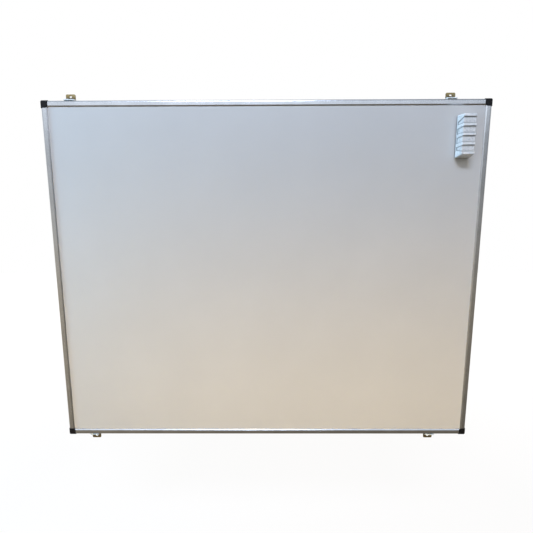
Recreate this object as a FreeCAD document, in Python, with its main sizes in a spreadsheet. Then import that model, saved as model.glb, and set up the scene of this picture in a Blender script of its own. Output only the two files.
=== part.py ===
"""Framed wall whiteboard with sliding wall brackets and a ribbed magnetic eraser, in millimetres.

X runs along the board, Z is up, and the wall is the plane Y = 0 with the board in front of it, towards -Y.
The origin is the middle of the four wall screws. A depth is a distance from the wall towards the viewer,
and an inset is a distance from a rail's outer face towards the middle of the board.
"""

import FreeCAD
import Part
import Sketcher
import math
import os

from FreeCAD import Placement, Rotation, Vector

# Driving dimensions: each is set once here and bound by its name everywhere else.
SIZES = (
    # The whole board, over its corner caps, and where the brackets stand along it
    ("board_width", 1500.0),
    ("board_height", 1200.0),
    ("wall_gap", 2.2),
    ("bracket_inset_left", 95.0),
    ("bracket_inset_right", 133.0),
    # The panel's three layers
    ("sheet_thickness", 0.5),
    ("core_thickness", 9.2),
    ("backing_thickness", 0.3),
    ("panel_edge_gap", 0.5),
    ("panel_fit", 0.1),
    # The rail's extruded profile
    ("rail_face", 20.0),
    ("rail_depth", 15.8),
    ("rail_wall", 1.2),
    ("nose_radius", 7.0),
    ("lip_rise", 3.5),
    ("lip_bevel", 3.0),
    ("lip_edge", 1.0),
    ("lip_nib", 1.5),
    ("lip_relief", 1.0),
    ("seat_depth", 9.5),
    ("mouth_margin", 0.3),
    ("mouth_width", 3.0),
    ("slot_undercut", 0.8),
    ("slot_depth", 6.0),
    ("corner_gap", 0.3),
    # The corner caps and the screws that hold their tongues
    ("cap_proud", 1.0),
    ("cap_cover", 3.7),
    ("cap_chamfer", 7.0),
    ("cap_nose_radius", 6.0),
    ("cap_edge_chamfer", 0.6),
    ("cap_fit", 0.1),
    ("tongue_length", 30.0),
    ("tongue_root", 8.0),
    ("tongue_fit", 0.2),
    ("screw_inset", 12.0),
    ("screw_radius", 1.45),
    ("screw_fit", 0.1),
    ("screw_head_radius", 2.7),
    ("screw_head_height", 1.3),
    # The wall brackets: a moulded shoe in the rail's slot and a steel plate pressed into it
    ("bracket_width", 32.0),
    ("slide_gap", 0.3),
    ("shoe_height", 7.0),
    ("shoe_slope_depth", 8.0),
    ("shoe_front_depth", 16.5),
    ("shoe_lip", 3.0),
    ("shoe_edge", 0.6),
    ("plate_thickness", 2.0),
    ("plate_reach", 24.0),
    ("plate_corner_radius", 4.0),
    ("plate_bend_radius", 0.8),
    ("plate_fit", 0.1),
    ("lug_width", 24.0),
    ("lug_inset", 2.2),
    ("lug_depth", 9.0),
    ("screw_slot_offset", 16.0),
    ("screw_slot_width", 5.5),
    ("screw_slot_length", 9.0),
    # The eraser, measured from the writing surface
    ("eraser_inset_right", 90.7),
    ("eraser_inset_top", 123.3),
    ("eraser_width", 48.5),
    ("eraser_length", 136.0),
    ("eraser_front_width", 43.0),
    ("eraser_front_length", 128.0),
    ("eraser_depth", 36.5),
    ("eraser_rim", 5.5),
    ("eraser_corner_radius", 4.0),
    ("eraser_edge", 1.8),
    ("eraser_wall", 2.4),
    ("rib_root", 10.0),
    ("rib_crest", 6.4),
    ("rib_flare", 10.0),
    ("rib_height", 3.5),
    ("side_recess", 1.6),
    ("skirt_height", 3.0),
    ("felt_gap", 0.3),
    ("felt_inset", 1.5),
    ("felt_thickness", 6.7),
    ("foam_thickness", 4.0),
    ("pad_fit", 0.2),
    ("foam_ledge", 3.0),
    ("magnet_width", 14.0),
    ("magnet_thickness", 3.6),
    ("magnet_margin", 5.0),
    ("magnet_gap", 20.0),
)

RIB_COUNT = 5

# Places and sizes that follow from the driving dimensions.
LAYOUT = (
    # Plan of the frame
    ("board_x", "(Sizes.bracket_inset_right - Sizes.bracket_inset_left) / 2"),
    ("bracket_x", "(Sizes.board_width - Sizes.bracket_inset_left - Sizes.bracket_inset_right) / 2"),
    ("half_width", "Sizes.board_width / 2"),
    ("half_height", "Sizes.board_height / 2"),
    ("rail_half_width", "half_width - Sizes.cap_proud"),
    ("rail_half_height", "half_height - Sizes.cap_proud"),
    ("board_left", "board_x - half_width"),
    ("board_right", "board_x + half_width"),
    ("rail_left_x", "board_x - rail_half_width"),
    ("rail_right_x", "board_x + rail_half_width"),
    ("rail_end", "Sizes.cap_proud + Sizes.rail_face + Sizes.corner_gap"),
    ("rail_length_x", "Sizes.board_width - 2 * rail_end"),
    ("rail_length_z", "Sizes.board_height - 2 * rail_end"),
    ("cap_leg", "rail_end + Sizes.cap_cover"),
    # Depths through the frame and the panel
    ("rail_back", "Sizes.wall_gap"),
    ("rail_front", "rail_back + Sizes.rail_depth"),
    ("cap_front", "rail_front + Sizes.cap_proud"),
    ("cap_depth", "cap_front - rail_back"),
    ("panel_front", "rail_front - Sizes.lip_rise"),
    ("core_front", "panel_front - Sizes.sheet_thickness"),
    ("core_back", "core_front - Sizes.core_thickness"),
    ("panel_back", "core_back - Sizes.backing_thickness"),
    ("seat_back", "panel_back - Sizes.panel_fit"),
    ("lip_foot", "panel_front + Sizes.lip_edge"),
    ("lip_under", "panel_front + Sizes.lip_relief"),
    ("nose_start", "rail_front - Sizes.nose_radius"),
    # The T slot in the rail's outer face, in which the bracket shoes slide
    ("mouth_front", "nose_start - Sizes.mouth_margin"),
    ("mouth_back", "mouth_front - Sizes.mouth_width"),
    ("slot_front", "mouth_front + Sizes.slot_undercut"),
    ("slot_back", "mouth_back - Sizes.slot_undercut"),
    # The rail's two hollow chambers and the seat of the panel
    ("seat_floor", "Sizes.rail_face - Sizes.seat_depth"),
    ("bevel_start", "Sizes.rail_face - Sizes.lip_bevel"),
    ("nib_start", "Sizes.rail_face - Sizes.lip_nib"),
    ("chamber_inner", "seat_floor - Sizes.rail_wall"),
    ("rear_low", "rail_back + Sizes.rail_wall"),
    ("rear_high", "slot_back - Sizes.rail_wall"),
    ("fore_low", "slot_front + Sizes.rail_wall"),
    ("fore_high", "rail_front - Sizes.rail_wall"),
    ("fore_radius", "Sizes.nose_radius - Sizes.rail_wall"),
    ("fore_outer", "Sizes.nose_radius - sqrt(fore_radius ^ 2 - (fore_low - nose_start) ^ 2)"),
    # The panel's outline
    ("panel_inset", "seat_floor + Sizes.panel_edge_gap"),
    ("panel_half_width", "rail_half_width - panel_inset"),
    ("panel_half_height", "rail_half_height - panel_inset"),
    # Inside of a corner cap, from the cap's own outer corner
    ("cap_shoulder", "cap_leg - Sizes.cap_chamfer"),
    ("pocket_start", "rail_end - Sizes.cap_fit"),
    ("pocket_outer", "Sizes.cap_proud - Sizes.cap_fit"),
    ("pocket_nose", "Sizes.cap_proud + Sizes.nose_radius"),
    ("pocket_front", "rail_front + Sizes.cap_fit"),
    ("pocket_bevel", "Sizes.cap_proud + bevel_start"),
    ("pocket_inner", "Sizes.cap_proud + Sizes.rail_face + Sizes.cap_fit"),
    ("pocket_floor", "panel_front + Sizes.cap_fit"),
    ("pocket_far", "2 * cap_leg"),
    ("pocket_behind", "rail_back - Sizes.cap_proud"),
    ("panel_corner", "Sizes.cap_proud + seat_floor"),
    ("panel_room", "pocket_floor - seat_back"),
    # A cap's tongues: a flat one in the rear chamber and a square one in the front chamber
    ("tongue_start", "rail_end - Sizes.tongue_root"),
    ("tongue_run", "Sizes.tongue_root + Sizes.tongue_length"),
    ("rear_tongue_outer", "Sizes.cap_proud + Sizes.rail_wall + Sizes.tongue_fit"),
    ("tongue_inner", "Sizes.cap_proud + chamber_inner - Sizes.tongue_fit"),
    ("rear_tongue_low", "rear_low + Sizes.tongue_fit"),
    ("rear_tongue_high", "rear_high - Sizes.tongue_fit"),
    ("fore_tongue_low", "fore_low + Sizes.tongue_fit"),
    ("fore_tongue_high", "fore_high - Sizes.tongue_fit"),
    # The corner screws, set into the rear tongues
    ("screw_inset_u", "(Sizes.rail_wall + chamber_inner) / 2"),
    ("screw_hole_radius", "Sizes.screw_radius + Sizes.screw_fit"),
    ("rail_station_x", "rail_length_x / 2 - Sizes.screw_inset"),
    ("screw_station_z", "rail_length_z / 2 - Sizes.screw_inset"),
    ("screw_left", "board_x - rail_station_x"),
    ("screw_right", "board_x + rail_station_x"),
    ("screw_high", "rail_half_height - screw_inset_u"),
    ("screw_far_left", "board_x - rail_half_width + screw_inset_u"),
    ("screw_far_right", "board_x + rail_half_width - screw_inset_u"),
    ("screw_tip", "rear_tongue_high"),
    ("screw_shank", "screw_tip - rail_back"),
    ("screw_head_back", "rail_back - Sizes.screw_head_height"),
    ("cap_screw_along", "rail_end + Sizes.screw_inset"),
    ("cap_screw_across", "Sizes.cap_proud + screw_inset_u"),
    # A wall bracket, from the rail's outer face outwards
    ("bracket_half", "Sizes.bracket_width / 2"),
    ("shoe_bottom", "Sizes.slide_gap"),
    ("shoe_top", "shoe_bottom + Sizes.shoe_height"),
    ("shoe_lip_top", "shoe_bottom + Sizes.shoe_lip"),
    ("shoe_back", "Sizes.plate_thickness"),
    ("neck_back", "mouth_back + Sizes.slide_gap"),
    ("neck_front", "mouth_front - Sizes.slide_gap"),
    ("head_back", "slot_back + Sizes.slide_gap"),
    ("head_front", "slot_front - Sizes.slide_gap"),
    ("head_top", "Sizes.rail_wall + Sizes.slide_gap"),
    ("head_bottom", "Sizes.slot_depth - Sizes.slide_gap"),
    ("lug_low", "shoe_bottom + Sizes.lug_inset"),
    ("lug_high", "lug_low + Sizes.plate_thickness"),
    ("lug_half", "Sizes.lug_width / 2"),
    ("lug_rise", "Sizes.lug_depth - Sizes.plate_thickness"),
    ("lug_room_low", "lug_low - Sizes.plate_fit"),
    ("lug_room_high", "lug_high + Sizes.plate_fit + Sizes.plate_bend_radius"),
    ("lug_room_half", "lug_half + Sizes.plate_fit"),
    ("lug_room_depth", "lug_rise + Sizes.plate_fit"),
    ("slot_round", "Sizes.screw_slot_width / 2"),
    ("slot_straight", "Sizes.screw_slot_length / 2 - slot_round"),
    # The eraser, from its own middle on the writing surface
    ("eraser_place_x", "board_right - Sizes.eraser_inset_right"),
    ("eraser_place_z", "half_height - Sizes.eraser_inset_top"),
    ("eraser_half_width", "Sizes.eraser_width / 2"),
    ("eraser_half_length", "Sizes.eraser_length / 2"),
    ("eraser_front_half_width", "Sizes.eraser_front_width / 2"),
    ("eraser_front_half_length", "Sizes.eraser_front_length / 2"),
    ("eraser_shoulder", "Sizes.eraser_depth - Sizes.eraser_edge"),
    ("front_edge_half_width", "eraser_front_half_width - Sizes.eraser_edge"),
    ("front_edge_half_length", "eraser_front_half_length - Sizes.eraser_edge"),
    ("front_edge_radius", "Sizes.eraser_corner_radius - Sizes.eraser_edge"),
    ("shell_draft", "(eraser_half_width - eraser_front_half_width) / (eraser_shoulder - Sizes.eraser_rim)"),
    ("recess_depth", "Sizes.eraser_depth - Sizes.rib_height"),
    ("core_half_width", "eraser_half_width - Sizes.side_recess"),
    ("core_half_length", "eraser_half_length - Sizes.rib_root"),
    ("core_front_half_width", "core_half_width - shell_draft * (recess_depth - Sizes.eraser_rim)"),
    ("core_front_half_length", "eraser_front_half_length - Sizes.rib_root / 2"),
    ("rib_root_half", "Sizes.rib_root / 2"),
    ("rib_crest_half", "Sizes.rib_crest / 2"),
    ("rib_pitch", "(Sizes.eraser_front_length - Sizes.rib_root) / %d" % (RIB_COUNT - 1)),
    ("end_rib_root", "eraser_front_half_length - Sizes.rib_root"),
    ("end_rib_crest", "end_rib_root + rib_root_half - rib_crest_half"),
    ("end_rib_back", "end_rib_root - Sizes.rib_flare"),
    ("end_rib_far", "eraser_half_length + Sizes.rib_root"),
    ("felt_back", "Sizes.felt_gap + Sizes.felt_thickness"),
    ("felt_half_width", "eraser_half_width - Sizes.felt_inset"),
    ("felt_half_length", "eraser_half_length - Sizes.felt_inset"),
    ("felt_radius", "Sizes.eraser_corner_radius - Sizes.felt_inset"),
    ("felt_room_half_width", "felt_half_width + Sizes.pad_fit"),
    ("felt_room_half_length", "felt_half_length + Sizes.pad_fit"),
    ("felt_room_depth", "felt_back - Sizes.eraser_rim"),
    ("foam_front", "felt_back + Sizes.foam_thickness"),
    ("foam_half_width", "core_half_width - Sizes.eraser_wall - shell_draft * foam_front"),
    ("foam_half_length", "core_half_length - Sizes.eraser_wall"),
    ("foam_room_half_width", "foam_half_width + Sizes.pad_fit"),
    ("foam_room_half_length", "foam_half_length + Sizes.pad_fit"),
    ("hollow_half_width", "foam_half_width - Sizes.foam_ledge"),
    ("hollow_half_length", "foam_half_length - Sizes.foam_ledge"),
    ("hollow_depth", "recess_depth - Sizes.eraser_wall - foam_front"),
    ("magnet_half_length", "(foam_half_length - Sizes.magnet_margin - Sizes.magnet_gap / 2) / 2"),
    ("magnet_half_width", "Sizes.magnet_width / 2"),
    ("magnet_place", "Sizes.magnet_gap / 2 + magnet_half_length"),
    ("window_half_length", "magnet_half_length + Sizes.pad_fit"),
    ("window_half_width", "magnet_half_width + Sizes.pad_fit"),
)

# A place on the axis itself is an empty sum of sizes.
ZERO = ()

# How a sketch is laid on its body's origin plane.
UPRIGHT = Rotation()
HALF_TURN = Rotation(Vector(0, 0, 1), 180)
FLIPPED = Rotation(Vector(0, 1, 0), 180)
# How a free sketch or cylinder is turned: with its normal, or its first axis, towards the viewer.
TOWARDS_VIEWER = Rotation(Vector(1, 0, 0), 90)
ACROSS = Rotation(Vector(0, -1, 0), Vector(0, 0, 1), Vector(-1, 0, 0))

doc = FreeCAD.newDocument("Whiteboard")
parts = []


def fill_sheet(name, rows, lead):
    """One spreadsheet with a named value in each row."""
    sheet = doc.addObject("Spreadsheet::Sheet", name)
    for row, (alias, content) in enumerate(rows, start=1):
        sheet.set("A%d" % row, alias)
        sheet.set("B%d" % row, lead + str(content))
        sheet.setAlias("B%d" % row, alias)
    doc.recompute()
    return sheet


sizes = fill_sheet("Sizes", SIZES, "")
layout = fill_sheet("Layout", LAYOUT, "=")
SIZE_NAMES = {alias for alias, _ in SIZES}


def terms(name):
    """A place is one named size or a tuple of them that are added up."""
    return (name,) if isinstance(name, str) else tuple(name)


def minus(name):
    """The same place with its sign turned."""
    return tuple(one[1:] if one.startswith("-") else "-" + one for one in terms(name))


def sheet_of(name):
    return sizes if name.lstrip("-") in SIZE_NAMES else layout


def number(name):
    """The value of a place in millimetres."""
    total = 0.0
    for one in terms(name):
        value = float(sheet_of(one).get(one.lstrip("-")))
        total += -value if one.startswith("-") else value
    return total


def binding(name):
    """The expression that binds a property to a place."""
    words = []
    for one in terms(name):
        sign = "-" if one.startswith("-") else "+"
        words.append("%s %s.%s" % (sign, sheet_of(one).Name, one.lstrip("-")))
    return "0 " + " ".join(words)


def bind(thing, **names):
    """Bind properties of a document object to places."""
    for path, name in names.items():
        thing.setExpression(path.replace("__", "."), binding(name))


def new_body(label):
    body = doc.addObject("PartDesign::Body", label)
    parts.append(body)
    return body


def origin_plane(body, role):
    return next(plane for plane in body.Origin.OriginFeatures if plane.Role == role)


def new_sketch(body, name, role, turn=UPRIGHT, offset=None):
    """A sketch on one of the body's origin planes, moved along the plane's normal by a named offset."""
    sketch = body.newObject("Sketcher::SketchObject", name)
    sketch.AttachmentSupport = [(origin_plane(body, role), "")]
    sketch.MapMode = "FlatFace"
    sketch.AttachmentOffset = Placement(Vector(), turn)
    if offset:
        bind(sketch, AttachmentOffset__Base__z=offset)
    return sketch


def fix_point(sketch, geometry, point, x_name, y_name):
    """Hold a sketch point at a named place."""
    for kind, name in (("DistanceX", x_name), ("DistanceY", y_name)):
        constraint = Sketcher.Constraint(kind, -1, 1, geometry, point, number(name))
        index = sketch.addConstraint(constraint)
        sketch.setExpression("Constraints[%d]" % index, binding(name))


def draw_outline(sketch, corners):
    """A closed outline through named corners. A corner that also names a centre starts an arc about it."""
    first = sketch.GeometryCount
    places = [(number(corner[0]), number(corner[1])) for corner in corners]
    ends = []
    for here, corner in enumerate(corners):
        start = Vector(*places[here], 0)
        end = Vector(*places[(here + 1) % len(corners)], 0)
        if len(corner) == 2:
            sketch.addGeometry(Part.LineSegment(start, end))
            ends.append((1, 2))
            continue
        centre = Vector(number(corner[2]), number(corner[3]), 0)
        turns_left = (start - centre).cross(end - centre).z > -0.001
        low, high = (start, end) if turns_left else (end, start)
        low_angle = math.atan2(low.y - centre.y, low.x - centre.x)
        high_angle = math.atan2(high.y - centre.y, high.x - centre.x)
        circle = Part.Circle(centre, Vector(0, 0, 1), (start - centre).Length)
        sketch.addGeometry(Part.ArcOfCircle(circle, low_angle, high_angle))
        ends.append((1, 2) if turns_left else (2, 1))
    for here, corner in enumerate(corners):
        after = (here + 1) % len(corners)
        joint = Sketcher.Constraint("Coincident", first + here, ends[here][1], first + after, ends[after][0])
        sketch.addConstraint(joint)
        fix_point(sketch, first + here, ends[here][0], corner[0], corner[1])
        if len(corner) == 4:
            index = sketch.addConstraint(
                Sketcher.Constraint("DistanceX", -1, 1, first + here, 3, number(corner[2]))
            )
            sketch.setExpression("Constraints[%d]" % index, binding(corner[2]))


def draw_box(sketch, left, right, low, high):
    draw_outline(sketch, [(left, low), (right, low), (right, high), (left, high)])


def draw_rounded_box(sketch, half_x, half_y, radius):
    """A rectangle about the sketch's origin with its corners rounded."""
    in_x = (half_x, "-" + radius)
    in_y = (half_y, "-" + radius)
    draw_outline(
        sketch,
        [
            (minus(in_x), minus(half_y)),
            (in_x, minus(half_y), in_x, minus(in_y)),
            (half_x, minus(in_y)),
            (half_x, in_y, in_x, in_y),
            (in_x, half_y),
            (minus(in_x), half_y, minus(in_x), in_y),
            (minus(half_x), in_y),
            (minus(half_x), minus(in_y), minus(in_x), minus(in_y)),
        ],
    )


def draw_circle(sketch, x_name, y_name, radius_name):
    centre = Vector(number(x_name), number(y_name), 0)
    index = sketch.addGeometry(Part.Circle(centre, Vector(0, 0, 1), number(radius_name)))
    fix_point(sketch, index, 3, x_name, y_name)
    held = sketch.addConstraint(Sketcher.Constraint("Radius", index, number(radius_name)))
    sketch.setExpression("Constraints[%d]" % held, binding(radius_name))


def extrude(body, kind, name, sketch, length, symmetric=False, reverse=False):
    """Pad or Pocket a sketch by a named length."""
    feature = body.newObject("PartDesign::" + kind, name)
    feature.Profile = sketch
    feature.SideType = "Symmetric" if symmetric else "One side"
    feature.Reversed = reverse
    bind(feature, Length=length)
    return feature


def cut(body, name, sketch, length, reverse=False):
    """A pocket that has to take material away."""
    doc.recompute()
    before = body.Shape.Volume
    feature = extrude(body, "Pocket", name, sketch, length, reverse=reverse)
    doc.recompute()
    if body.Shape.Volume > before - 0.01:
        raise RuntimeError("%s of %s cuts nothing" % (name, body.Label))
    return feature


def dress_edges(body, kind, name, wanted):
    """A Fillet or Chamfer on the edges that the test picks out of the body's last feature."""
    doc.recompute()
    base = body.Tip
    names = ["Edge%d" % n for n, edge in enumerate(base.Shape.Edges, start=1) if wanted(edge)]
    feature = body.newObject("PartDesign::" + kind, name)
    feature.Base = (base, names)
    return feature


def round_edges(body, name, radius, wanted):
    bind(dress_edges(body, "Fillet", name, wanted), Radius=radius)


def bevel_edges(body, name, width, wanted):
    bind(dress_edges(body, "Chamfer", name, wanted), Size=width)


def middle(edge):
    """The point halfway along an edge, in the body's own axes."""
    return edge.valueAt((edge.FirstParameter + edge.LastParameter) / 2)


def near(one, other):
    return abs(one - other) < 0.01


def place(body, angle, x_name, z_name):
    """Turn a body about the board's normal and set it at a named place."""
    body.Placement = Placement(Vector(), Rotation(Vector(0, 1, 0), angle))
    bind(body, Placement__Base__x=x_name, Placement__Base__z=z_name)


def make_panel_layer(label, back, thickness):
    body = new_body(label)
    sketch = new_sketch(body, label + "_outline", "XZ_Plane", offset=back)
    draw_box(sketch, "-panel_half_width", "panel_half_width", "-panel_half_height", "panel_half_height")
    extrude(body, "Pad", label + "_pad", sketch, thickness)
    place(body, 0, "board_x", ZERO)


def make_rail(label, length, station, angle, place_x, place_z):
    """One extrusion: its outer face is at the body's origin, and its profile is drawn as (depth, inset)."""
    body = new_body(label)
    profile = new_sketch(body, label + "_profile", "YZ_Plane", turn=HALF_TURN)
    draw_outline(
        profile,
        [
            ("rail_back", ZERO),
            ("mouth_back", ZERO),
            ("mouth_back", "rail_wall"),
            ("slot_back", "rail_wall"),
            ("slot_back", "slot_depth"),
            ("slot_front", "slot_depth"),
            ("slot_front", "rail_wall"),
            ("mouth_front", "rail_wall"),
            ("mouth_front", ZERO),
            ("nose_start", ZERO, "nose_start", "nose_radius"),
            ("rail_front", "nose_radius"),
            ("rail_front", "bevel_start"),
            ("lip_foot", "rail_face"),
            ("panel_front", "rail_face"),
            ("panel_front", "nib_start"),
            ("lip_under", "nib_start"),
            ("lip_under", "seat_floor"),
            ("seat_back", "seat_floor"),
            ("seat_back", "rail_face"),
            ("rail_back", "rail_face"),
        ],
    )
    draw_box(profile, "rear_low", "rear_high", "rail_wall", "chamber_inner")
    draw_outline(
        profile,
        [
            ("fore_low", "fore_outer", "nose_start", "nose_radius"),
            ("fore_high", "nose_radius"),
            ("fore_high", "chamber_inner"),
            ("fore_low", "chamber_inner"),
        ],
    )
    extrude(body, "Pad", label + "_extrusion", profile, length, symmetric=True)
    holes = new_sketch(body, label + "_screw_holes", "XZ_Plane", turn=HALF_TURN, offset="rail_back")
    for side in ("", "-"):
        draw_circle(holes, side + station, "screw_inset_u", "screw_hole_radius")
    cut(body, label + "_screw_pocket", holes, "rail_wall", reverse=True)
    place(body, angle, place_x, place_z)


def make_cap(label, angle, place_x, place_z):
    """One corner cap: a solid corner that sleeves over both rail ends, with two tongues in each rail."""
    body = new_body(label)
    plan = new_sketch(body, label + "_plan", "XZ_Plane", turn=HALF_TURN, offset="rail_back")
    draw_outline(
        plan,
        [
            (ZERO, ZERO),
            ("cap_leg", ZERO),
            ("cap_leg", "cap_shoulder"),
            ("cap_shoulder", "cap_leg"),
            (ZERO, "cap_leg"),
        ],
    )
    extrude(body, "Pad", label + "_block", plan, "cap_depth")
    front = -number("cap_front")
    leg = -number("cap_leg")

    def on_outer_edge(edge):
        point = middle(edge)
        on_side = near(point.x, 0)
        on_top = near(point.z, 0)
        return (on_side and on_top) or (near(point.y, front) and (on_side or on_top))

    def on_inner_edge(edge):
        point = middle(edge)
        sloping = near(point.x + point.z, leg - number("cap_shoulder"))
        return near(point.y, front) and (near(point.x, leg) or near(point.z, leg) or sloping)

    round_edges(body, label + "_nose", "cap_nose_radius", on_outer_edge)
    bevel_edges(body, label + "_rim", "cap_edge_chamfer", on_inner_edge)
    sleeve = [
        ("pocket_behind", "pocket_outer"),
        ("nose_start", "pocket_outer", "nose_start", "pocket_nose"),
        ("pocket_front", "pocket_nose"),
        ("pocket_front", "pocket_bevel"),
        ("lip_foot", "pocket_inner"),
        ("pocket_floor", "pocket_inner"),
        ("pocket_floor", "pocket_far"),
        ("pocket_behind", "pocket_far"),
    ]
    rear_tongue = ("rear_tongue_low", "rear_tongue_high", "rear_tongue_outer", "tongue_inner")
    fore_tongue = ("fore_tongue_low", "fore_tongue_high", "pocket_nose", "tongue_inner")
    for leg_name, role in (("side", "YZ_Plane"), ("upright", "XY_Plane")):
        across_first = role == "XY_Plane"
        name = label + "_" + leg_name
        channel = new_sketch(body, name + "_channel", role, turn=HALF_TURN, offset="-pocket_start")
        draw_outline(channel, [swapped(corner) if across_first else corner for corner in sleeve])
        cut(body, name + "_sleeve", channel, "pocket_far")
    corner = new_sketch(body, label + "_panel_corner", "XZ_Plane", turn=HALF_TURN, offset="seat_back")
    draw_box(corner, "panel_corner", "pocket_far", "panel_corner", "pocket_far")
    cut(body, label + "_panel_room", corner, "panel_room", reverse=True)
    for leg_name, role in (("side", "YZ_Plane"), ("upright", "XY_Plane")):
        for kind, (low, high, outer, inner) in (("rear", rear_tongue), ("fore", fore_tongue)):
            name = "%s_%s_%s" % (label, leg_name, kind)
            section = new_sketch(body, name + "_section", role, turn=HALF_TURN, offset="-tongue_start")
            spans = (outer, inner, low, high) if role == "XY_Plane" else (low, high, outer, inner)
            draw_box(section, *spans)
            extrude(body, "Pad", name + "_tongue", section, "tongue_run", reverse=True)
    holes = new_sketch(body, label + "_screw_holes", "XZ_Plane", turn=HALF_TURN, offset="rail_back")
    draw_circle(holes, "cap_screw_along", "cap_screw_across", "screw_hole_radius")
    draw_circle(holes, "cap_screw_across", "cap_screw_along", "screw_hole_radius")
    cut(body, label + "_screw_pocket", holes, "screw_shank", reverse=True)
    place(body, angle, place_x, place_z)


def swapped(corner):
    """An outline corner with its two axes exchanged."""
    if len(corner) == 2:
        return corner[1], corner[0]
    return corner[1], corner[0], corner[3], corner[2]


def make_corner_screws(label):
    """Short pan-head screws through the rails' backs into the caps' rear tongues."""
    stations = []
    for x_names, z_name in (
        (("screw_left", "screw_right"), "screw_high"),
        (("screw_far_left", "screw_far_right"), "screw_station_z"),
    ):
        for x_name in x_names:
            stations += [(x_name, z_name), (x_name, "-" + z_name)]
    screws = []
    for count, (x_name, z_name) in enumerate(stations, start=1):
        pieces = []
        for kind, radius, start, length in (
            ("head", "screw_head_radius", "screw_head_back", "screw_head_height"),
            ("shank", "screw_radius", "rail_back", "screw_shank"),
        ):
            piece = doc.addObject("Part::Cylinder", "screw_%s_%d" % (kind, count))
            piece.Placement = Placement(Vector(), TOWARDS_VIEWER)
            bind(piece, Radius=radius, Height=length)
            bind(piece, Placement__Base__x=x_name, Placement__Base__y=minus(start), Placement__Base__z=z_name)
            pieces.append(piece)
        screw = doc.addObject("Part::Fuse", "screw_%d" % count)
        screw.Base, screw.Tool = pieces
        screws.append(screw)
    group = doc.addObject("Part::Compound", label)
    group.Links = screws
    parts.append(group)


def make_bracket_shoe(label, angle, place_x, place_z):
    """The moulded shoe: a wedge that reaches over the rail's nose, with a T foot that runs in the rail's slot."""
    body = new_body(label)
    section = new_sketch(body, label + "_section", "YZ_Plane", turn=FLIPPED)
    draw_outline(
        section,
        [
            ("shoe_back", "shoe_bottom"),
            ("neck_back", "shoe_bottom"),
            ("neck_back", "-head_top"),
            ("head_back", "-head_top"),
            ("head_back", "-head_bottom"),
            ("head_front", "-head_bottom"),
            ("head_front", "-head_top"),
            ("neck_front", "-head_top"),
            ("neck_front", "shoe_bottom"),
            ("shoe_front_depth", "shoe_bottom"),
            ("shoe_front_depth", "shoe_lip_top"),
            ("shoe_slope_depth", "shoe_top"),
            ("shoe_back", "shoe_top"),
        ],
    )
    extrude(body, "Pad", label + "_block", section, "bracket_width", symmetric=True)
    front = -number("shoe_front_depth")
    back = -number("shoe_back")
    lip_top = number("shoe_lip_top")
    end = number("bracket_half")

    def on_outer_edge(edge):
        point = middle(edge)
        on_end = near(abs(point.x), end) and point.z > lip_top and not near(point.y, back)
        return near(point.y, front) or on_end

    bevel_edges(body, label + "_edges", "shoe_edge", on_outer_edge)
    room = new_sketch(body, label + "_lug_outline", "XZ_Plane", offset="shoe_back")
    draw_box(room, "-lug_room_half", "lug_room_half", "lug_room_low", "lug_room_high")
    cut(body, label + "_lug_room", room, "lug_room_depth", reverse=True)
    place(body, angle, place_x, place_z)


def make_bracket_plate(label, angle, place_x, place_z):
    """The steel wall plate: a rounded tab with a screw slot, and a bent lug that is pressed into the shoe."""
    body = new_body(label)
    outline = new_sketch(body, label + "_outline", "XZ_Plane")
    inner_x = ("bracket_half", "-plate_corner_radius")
    inner_z = ("plate_reach", "-plate_corner_radius")
    draw_outline(
        outline,
        [
            ("-bracket_half", "lug_low"),
            ("bracket_half", "lug_low"),
            ("bracket_half", inner_z, inner_x, inner_z),
            (inner_x, "plate_reach"),
            (minus(inner_x), "plate_reach", minus(inner_x), inner_z),
            ("-bracket_half", inner_z),
        ],
    )
    slot_low = ("screw_slot_offset", "-slot_round")
    slot_high = ("screw_slot_offset", "slot_round")
    draw_outline(
        outline,
        [
            ("-slot_straight", slot_low),
            ("slot_straight", slot_low, "slot_straight", "screw_slot_offset"),
            ("slot_straight", slot_high),
            ("-slot_straight", slot_high, "-slot_straight", "screw_slot_offset"),
        ],
    )
    extrude(body, "Pad", label + "_tab", outline, "plate_thickness")
    lug = new_sketch(body, label + "_lug_outline", "XZ_Plane", offset="plate_thickness")
    draw_box(lug, "-lug_half", "lug_half", "lug_low", "lug_high")
    extrude(body, "Pad", label + "_lug", lug, "lug_rise")

    def in_bend(edge):
        point = middle(edge)
        return near(point.y, -number("plate_thickness")) and near(point.z, number("lug_high"))

    round_edges(body, label + "_bend", "plate_bend_radius", in_bend)
    place(body, angle, place_x, place_z)


def eraser_sketch(name, depth=ZERO, turn=None):
    """A sketch at a depth from the writing surface, centred on the eraser."""
    sketch = doc.addObject("Sketcher::SketchObject", name)
    sketch.Placement = Placement(Vector(), turn or TOWARDS_VIEWER)
    bind(
        sketch,
        Placement__Base__x="eraser_place_x",
        Placement__Base__y=minus(terms("panel_front") + terms(depth)),
        Placement__Base__z="eraser_place_z",
    )
    return sketch


def rounded_block(name, depth, length, half_x, half_z, radius):
    """A block with rounded corners that rises from a depth by a length."""
    sketch = eraser_sketch(name + "_outline", depth)
    draw_rounded_box(sketch, half_x, half_z, radius)
    return raise_sketch(name, sketch, length)


def raise_sketch(name, sketch, length, symmetric=False):
    block = doc.addObject("Part::Extrusion", name)
    block.Base = sketch
    block.DirMode = "Normal"
    block.Solid = True
    block.Symmetric = symmetric
    bind(block, LengthFwd=length)
    return block


def draft_loft(name, sections):
    """A drafted block through rounded outlines, each given as (depth, half width, half length, radius)."""
    outlines = []
    for count, (depth, half_x, half_z, radius) in enumerate(sections, start=1):
        sketch = eraser_sketch("%s_section_%d" % (name, count), depth)
        draw_rounded_box(sketch, half_x, half_z, radius)
        outlines.append(sketch)
    loft = doc.addObject("Part::Loft", name)
    loft.Sections = outlines
    loft.Solid = True
    loft.Ruled = True
    return loft


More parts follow.
